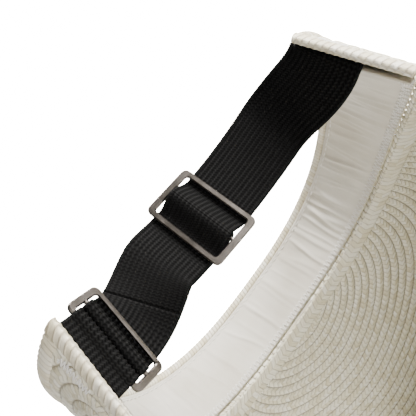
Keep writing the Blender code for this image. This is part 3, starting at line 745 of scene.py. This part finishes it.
def make_sweatband_top_stitch(white):
    """Running stitch near the upper edge: short stitches with a gap between them."""
    strands = []
    dip = 0.3 * MM * (1.0 - np.sin(np.linspace(0.0, math.pi, 7)))
    for start in np.arange(-0.965, 0.96, TOP_STITCH_PITCH_TURN):
        turn = np.linspace(start, start + TOP_STITCH_LENGTH_TURN, 7)
        strands.append(on_sweatband(turn, TOP_STITCH_HEIGHT, 0.25 * MM - dip))
    return thread("visual_sweatband_top_stitch", strands, TOP_STITCH_RADIUS, white)


def make_sweatband_overlock(white):
    """Overlock stitches that bind the lower edge: a row of slanting loops."""
    turn = np.linspace(-0.968, 0.968, 2401)
    wave = seam_run(turn) / OVERLOCK_PITCH * 2 * math.pi
    height = OVERLOCK_HEIGHT + 1.5 * MM * np.sin(wave) + 0.5 * MM * np.sin(2 * wave + 0.7)
    strand = on_sweatband(turn, height, OVERLOCK_RADIUS)
    return thread("visual_sweatband_overlock", [strand], OVERLOCK_RADIUS, white)


# ---------------------------------------------------------------------------------------------------------
# Strap path, as the CAD lays it out


def slide_axes():
    """Along the strap, across it and outwards, at the adjuster slide."""
    along = Vector((math.cos(SLIDE_HEADING), math.sin(SLIDE_HEADING), 0.0))
    side = Vector((-along.y, along.x, 0.0))
    across = Vector((0.0, 0.0, math.cos(SLIDE_LEAN))) + side * math.sin(SLIDE_LEAN)
    return along, across, across.cross(along)


def band_end_axes(side):
    """At an end of the band: square to its inner face, up its edge, and along it."""
    turn = side * TAB_TURN
    ahead = Vector(band_point(turn + 0.004, STRAP_RISE, 0.0) - band_point(turn - 0.004, STRAP_RISE, 0.0))
    across = Vector(band_point(turn, 1.0, 0.0) - band_point(turn, 0.0, 0.0)).normalized()
    along = ahead.cross(across).normalized() * side
    return along, across, across.cross(along)


def band_end(side):
    return Vector(band_point(side * TAB_TURN, STRAP_RISE, -2.5 * GAP))


def end_slide_centre():
    return band_end(1) - band_end_axes(1)[0] * (TAB_LENGTH + END_BAR_PITCH)


def arc_centre():
    return SLIDE_CENTRE + slide_axes()[2] * STRAP_ARC_RADIUS


def arc_point(run):
    """Point of the strap's circular stretch, and its direction."""
    along, _, outward = slide_axes()
    angle = run / STRAP_ARC_RADIUS
    direction = along * math.cos(angle) + outward * math.sin(angle)
    away = outward * math.cos(angle) - along * math.sin(angle)
    return arc_centre() - away * STRAP_ARC_RADIUS, direction


def hermite(start, leave, end, arrive, count):
    """Smooth curve between two points, leaving and arriving along the given directions."""
    span = (end - start).length
    points = []
    for share in np.linspace(0.0, 1.0, count + 1):
        square = share * share
        cube = square * share
        points.append(
            start * (2 * cube - 3 * square + 1)
            + leave * (span * (cube - 2 * square + share))
            + end * (3 * square - 2 * cube)
            + arrive * (span * (cube - square))
        )
    return points


class StrapPath:
    """The curve that the strap follows, with its width direction, measured from the adjuster slide."""

    def __init__(self):
        right = band_end(-1)
        left = band_end(1)
        right_way, right_across, _ = band_end_axes(-1)
        tab_way, tab_across, _ = band_end_axes(1)
        arc_start, start_way = arc_point(-STRAP_ARC_TO_RIGHT)
        arc_end, end_way = arc_point(STRAP_ARC_TO_LEFT)
        arc_across = slide_axes()[1]
        near = end_slide_centre() - tab_way * (END_SLIDE_LENGTH / 2)

        self.points = []
        self.acrosses = []
        self.add_curve(hermite(right, right_way, arc_start, start_way, 24)[:-1], right_across, arc_across)
        for run in np.linspace(-STRAP_ARC_TO_RIGHT, STRAP_ARC_TO_LEFT, 45):
            self.add(arc_point(run)[0], arc_across)
        self.add_curve(hermite(arc_end, end_way, near, tab_way, 12)[1:-1], arc_across, tab_across)
        straight = [near.lerp(left, share) for share in np.linspace(0.0, 1.0, 13)]
        self.add_curve(straight, tab_across, tab_across)
        self.runs = lengths_along(np.array(self.points))
        self.runs = self.runs - self.nearest_run(SLIDE_CENTRE, slide_axes()[0])
        self.end_slide_run = self.nearest_run(end_slide_centre(), tab_way)

    def add_curve(self, points, first_across, last_across):
        last = len(points) - 1
        for index, point in enumerate(points):
            self.add(point, first_across.lerp(last_across, float(smoothstep(index / last))))

    def add(self, point, across):
        self.points.append(point)
        self.acrosses.append(across)

    def nearest_run(self, place, along):
        nearest = min(range(len(self.points)), key=lambda index: (self.points[index] - place).length)
        return self.runs[nearest] + (place - self.points[nearest]).dot(along)

    def sample(self, values, run):
        """Values along the path at an array of runs."""
        table = np.array(values)
        return np.stack([np.interp(run, self.runs, table[:, axis]) for axis in range(3)], -1)

    def place(self, run, lift):
        """Points at the runs, lifted off the path, with the strap's width direction at each."""
        step = 0.6 * MM
        first = np.maximum(self.runs[0], run - step)
        last = np.minimum(self.runs[-1], run + step)
        along = unit(self.sample(self.points, last) - self.sample(self.points, first))
        across = self.sample(self.acrosses, run)
        across = unit(across - scaled(along, np.sum(across * along, -1)))
        return self.sample(self.points, run) + scaled(np.cross(across, along), lift), across


def bar_wrap(centre, radius, first, last, count=14):
    """(run, lift) pairs round a bar; angles are in degrees, and 90 is outward."""
    angle = np.radians(np.linspace(first, last, count))
    return np.stack([centre + radius * np.cos(angle), radius * np.sin(angle)], -1)


def eased(first_run, last_run, first_lift, last_lift, count=10):
    share = np.linspace(0.0, 1.0, count)
    return np.stack([mix(first_run, last_run, share), mix(first_lift, last_lift, smoothstep(share))], -1)


def join(*stretches):
    """One (run, lift) profile from several, without doubled points."""
    points = np.concatenate(stretches)
    keep = np.ones(len(points), dtype=bool)
    keep[1:] = np.linalg.norm(np.diff(points, axis=0), axis=1) > 0.02 * MM
    return points[keep]


# ---------------------------------------------------------------------------------------------------------
# Strap pieces


def ribbon(name, centre, across, elastic):
    """Ribbed elastic along a centre line, with its width direction at each point."""
    side = np.linspace(-1.0, 1.0, 6 * STRAP_RIBS + 1)
    ahead = unit(np.gradient(centre, axis=0))
    normal = unit(np.cross(across, ahead))
    ribs = STRAP_RIB_RELIEF * np.cos(side * math.pi * STRAP_RIBS)
    past = np.clip((np.abs(side) - 0.96) / 0.04, 0.0, 1.0)
    edge = 0.25 + 0.75 * np.sqrt(np.clip(1.0 - past ** 2, 0.0, 1.0))
    half = (STRAP_THICKNESS / 2 - STRAP_RIB_RELIEF * 0.6 + ribs) * edge
    flat = centre[:, None] + across[:, None] * (side * STRAP_WIDTH / 2)[None, :, None]
    lift = normal[:, None] * half[None, :, None]
    along = np.broadcast_to(lengths_along(centre)[:, None] / MM, flat.shape[:2])
    width = np.broadcast_to((side + 1.0)[None, :] * STRAP_WIDTH / 2 / MM, flat.shape[:2])
    return shell(name, flat + lift, flat - lift, np.stack([along, width], -1), elastic)


def path_ribbon(name, path, profile, elastic):
    centre, across = path.place(profile[:, 0], profile[:, 1])
    return ribbon(name, centre, across, elastic)


def sewn_in(side, path, run, lift):
    """Centre line and width directions from under the sweatband, round the fold, to the path at `run`."""
    turns = side * np.linspace(0.93, 0.9765, 10)
    tucked = band_point(turns, STRAP_RISE, -GAP - STRAP_THICKNESS / 2)
    edges = unit(band_point(turns, 1.0, 0.0) - band_point(turns, 0.0, 0.0))
    end, end_across = path.place(np.array([run]), np.array([lift]))
    leave = Vector(unit(tucked[-1] - tucked[-2]))
    arrive = Vector(band_end_axes(side)[0]) * -side
    fold = hermite(Vector(tucked[-1]), leave, Vector(end[0]), arrive, 12)
    share = smoothstep(np.linspace(0.0, 1.0, 13))[:, None]
    across = unit(mix(edges[-1][None, :], end_across[0][None, :], share))
    return np.concatenate([tucked[:-1], np.array(fold)]), np.concatenate([edges[:-1], across])


def hump_lift(run):
    """The strap rises over the adjuster's middle bar and the layer wrapped round it."""
    bump = 0.5 + 0.5 * np.cos(math.pi * np.clip(run / HUMP_RUN, -1.0, 1.0))
    return UNDER_BARS + (WRAP_RADIUS + LAYER - UNDER_BARS) * bump


def make_strap_right(path, elastic):
    """From the right end of the band to the top of the adjuster's middle bar."""
    start = path.runs[0] + SEWN_IN_RUN
    sink = 16.0 * MM
    run = np.linspace(start, -LEVEL_RUN, 60)
    lift = UNDER_BARS * smoothstep((run + STRAP_ARC_TO_RIGHT + sink) / sink)
    rise = np.linspace(-HUMP_RUN, 0.0, 24)
    profile = join(np.stack([run, lift], -1), np.stack([rise, hump_lift(rise)], -1))
    centre, across = path.place(profile[:, 0], profile[:, 1])
    root, root_across = sewn_in(-1, path, start, 0.0)
    centre = np.concatenate([root[:-1], centre])
    across = np.concatenate([root_across[:-1], across])
    return ribbon("visual_strap_right", centre, across, elastic)


def make_strap_left(path, elastic):
    """From the top of the adjuster's middle bar towards the joining slide."""
    fall = np.linspace(0.0, HUMP_RUN, 24)
    run = np.linspace(LEVEL_RUN, STRAP_SPLIT_RUN, 22)
    level = np.stack([run, np.full(run.shape, UNDER_BARS)], -1)
    profile = join(np.stack([fall, hump_lift(fall)], -1), level)
    return path_ribbon("visual_strap_left", path, profile, elastic)


def make_strap_loop(path, elastic):
    """Round the joining slide's middle bar and back underneath."""
    bar = path.end_slide_run
    wrap = WRAP_RADIUS + LOOP_FULLNESS
    climb = bar - 4.4 * MM
    fall = bar - 4.0 * MM
    profile = join(
        eased(STRAP_SPLIT_RUN, climb, UNDER_BARS, UNDER_BARS, 14),
        eased(climb, bar, UNDER_BARS, wrap, 14),
        bar_wrap(bar, wrap, 90.0, -90.0),
        eased(bar, fall, -wrap, UNDER_BARS - LAYER, 8),
        eased(fall, STRAP_SPLIT_RUN, UNDER_BARS - LAYER, UNDER_BARS - LAYER, 14),
    )
    return path_ribbon("visual_strap_loop", path, profile, elastic)


def make_strap_return(path, elastic):
    """The hidden layer on its way back to the adjuster."""
    profile = eased(STRAP_SPLIT_RUN, FOLD_START_RUN, UNDER_BARS - LAYER, UNDER_BARS - LAYER, 14)
    return path_ribbon("visual_strap_return", path, profile, elastic)


def make_strap_fold(path, elastic):
    """Round the adjuster's middle bar, and the end that is folded under and sewn down."""
    second_layer = UNDER_BARS - LAYER
    third_layer = UNDER_BARS - 2.0 * LAYER
    climb = 6.2 * MM
    sink = 5.5 * MM
    profile = join(
        eased(FOLD_START_RUN, climb, second_layer, second_layer, 12),
        eased(climb, 0.0, second_layer, WRAP_RADIUS, 14),
        bar_wrap(0.0, WRAP_RADIUS, 90.0, 270.0),
        eased(0.0, sink, -WRAP_RADIUS, third_layer, 8),
        eased(sink, STRAP_END_RUN, third_layer, third_layer, 12),
    )
    return path_ribbon("visual_strap_fold", path, profile, elastic)


def make_tab(path, elastic):
    """Short doubled tab between the band's left end and the joining slide's outer bar."""
    bar = path.end_slide_run + END_BAR_PITCH
    straight = bar + TAB_STRAIGHT
    half = LAYER / 2
    wrap = TAB_WRAP_RADIUS + LOOP_FULLNESS
    top = path.runs[-1]
    profile = join(
        eased(top, straight, half, half, 10),
        eased(straight, bar, half, wrap, 8),
        bar_wrap(bar, wrap, 90.0, 270.0, 18),
        eased(bar, straight, -wrap, -half, 8),
        eased(straight, top - SEWN_IN_RUN, -half, -half, 6),
    )
    centre, across = path.place(profile[:, 0], profile[:, 1])
    root, root_across = sewn_in(1, path, top - SEWN_IN_RUN, -half)
    centre = np.concatenate([centre, root[::-1][1:]])
    across = np.concatenate([across, root_across[::-1][1:]])
    return ribbon("visual_tab", centre, across, elastic)


def make_strap_end_stitch(path, black):
    """Zigzag across the strap's folded end."""
    step = np.linspace(-1.0, 1.0, 81)
    run = END_STITCH_RUN + 0.9 * MM * np.sin(step * math.pi * 10)
    lift = np.full(run.shape, UNDER_BARS - 2.0 * LAYER - STRAP_THICKNESS / 2 - 0.15 * MM)
    centre, across = path.place(run, lift)
    strand = centre + scaled(across, step * 10.0 * MM)
    return thread("visual_strap_end_stitch", [strand], END_STITCH_RADIUS, black)


def make_bar_tack(name, side, white):
    """Dense zigzag through the straw that holds the elastic."""
    step = np.linspace(-1.0, 1.0, 161)
    zigzag = 1.3 * MM / BAND_HALF_LENGTH * np.sin(step * math.pi * 10)
    turn = side * (1.0 - TACK_FROM_END / BAND_HALF_LENGTH) + zigzag
    rise = STRAP_RISE + step * TACK_HALF_LENGTH / band_height(turn)
    return thread(name, [band_point(turn, rise, STRAW_THICKNESS + 0.2 * MM)], TACK_RADIUS, white)


# ---------------------------------------------------------------------------------------------------------
# Stage


def area_light(name, place, aim, size, power, colour=(1.0, 1.0, 1.0)):
    lamp = bpy.data.lights.new(name, "AREA")
    lamp.shape = "DISK"
    lamp.size = size
    lamp.energy = power
    lamp.color = colour
    light = bpy.data.objects.new(name, lamp)
    light.location = place
    light.rotation_euler = (Vector(aim) - Vector(place)).to_track_quat("-Z", "Y").to_euler()
    bpy.context.scene.collection.objects.link(light)


def make_stage():
    world = bpy.data.worlds.new("studio")
    world.use_nodes = True
    soft_box = world.node_tree.nodes["Background"]
    soft_box.inputs["Color"].default_value = WORLD_COLOUR
    seen = world.node_tree.nodes.new("ShaderNodeLightPath").outputs["Is Camera Ray"]
    strength = world.node_tree.nodes.new("ShaderNodeMapRange")
    strength.inputs["To Min"].default_value = WORLD_LIGHT
    strength.inputs["To Max"].default_value = BACKDROP_LIGHT
    world.node_tree.links.new(seen, strength.inputs["Value"])
    world.node_tree.links.new(strength.outputs["Result"], soft_box.inputs["Strength"])
    bpy.context.scene.world = world
    corners = [(x * FLOOR_HALF, y * FLOOR_HALF, 0.0) for x, y in ((-1, -1), (1, -1), (1, 1), (-1, 1))]
    floor = mesh_piece("floor", corners, [(0, 1, 2, 3)], floor_material())
    area_light("key", (-0.42, 0.4, 0.62), (0.03, 0.0, 0.06), 0.3, 19.0, (1.0, 0.98, 0.95))
    area_light("low", (-0.5, 0.5, 0.08), (0.08, -0.04, 0.05), 0.22, 8.0, (1.0, 0.98, 0.94))
    area_light("front", (0.6, -0.9, 0.8), (0.0, 0.0, 0.06), 0.8, 8.0)


def make_camera():
    data = bpy.data.cameras.new("camera")
    data.lens = CAMERA_LENS
    data.sensor_width = 36.0
    data.clip_start = 0.005
    camera = bpy.data.objects.new("camera", data)
    right = CAMERA_RIGHT.normalized()
    back = right.cross(-CAMERA_DOWN).normalized()
    up = back.cross(right)
    camera.matrix_world = Matrix.Translation(CAMERA_PLACE) @ Matrix((right, up, back)).transposed().to_4x4()
    bpy.context.scene.collection.objects.link(camera)
    bpy.context.scene.camera = camera


# ---------------------------------------------------------------------------------------------------------
# Putting the pieces on the frame


def settle(piece, body, node):
    """The piece rides on a body and stands for a CAD node."""
    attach(piece, body)
    finish_piece(node)


def finish_piece(node):
    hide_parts(node)


def make_straw_parts():
    straw = straw_material()
    straw_edge = straw_edge_material()
    settle(make_brim(straw), "visor", "brim")
    settle(make_crown_band(straw), "visor", "crown_band")
    settle(make_seam_cover_row(straw), "visor", "seam_cover_row")
    settle(make_crown_top_row(straw_edge), "visor", "crown_top_row")
    settle(make_brim_edge_row(straw_edge), "visor", "brim_edge_row")
    settle(make_end_row("visual_end_row_right", -1, straw_edge), "visor", "end_row_right")
    settle(make_end_row("visual_end_row_left", 1, straw_edge), "visor", "end_row_left")


def make_cotton_parts(white):
    sweatband = make_sweatband(cotton_material())
    settle(sweatband, "visor", "sweatband")
    top_stitch = make_sweatband_top_stitch(white)
    overlock = make_sweatband_overlock(white)
    settle(top_stitch, "visor", "sweatband_top_stitch")
    settle(overlock, "visor", "sweatband_overlock")


def make_strap_parts(white):
    path = StrapPath()
    elastic = elastic_material()
    black = thread_material("black_thread", (0.015, 0.015, 0.016))
    right = make_strap_right(path, elastic)
    left = make_strap_left(path, elastic)
    loop = make_strap_loop(path, elastic)
    back = make_strap_return(path, elastic)
    fold = make_strap_fold(path, elastic)
    tab = make_tab(path, elastic)
    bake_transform(right)
    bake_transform(left)
    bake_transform(back)
    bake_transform(loop)
    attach(fold, "adjuster")
    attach(tab, "visor")
    for piece in (right, left, loop, back, fold):
        finish_piece("strap_elastic")
    finish_piece("tab_elastic")
    settle(make_strap_end_stitch(path, black), "adjuster", "strap_end_stitch")
    settle(make_bar_tack("visual_strap_bar_tack", -1, white), "visor", "strap_bar_tack")
    settle(make_bar_tack("visual_tab_bar_tack", 1, white), "visor", "tab_bar_tack")


def main():
    make_camera()
    make_stage()
    white = thread_material("white_thread", (0.85, 0.83, 0.78))
    make_straw_parts()
    make_cotton_parts(white)
    make_strap_parts(white)
    metal = metal_material()
    for node in ("strap_slide", "end_slide"):
        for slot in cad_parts[node].material_slots:
            slot.material = metal


main()
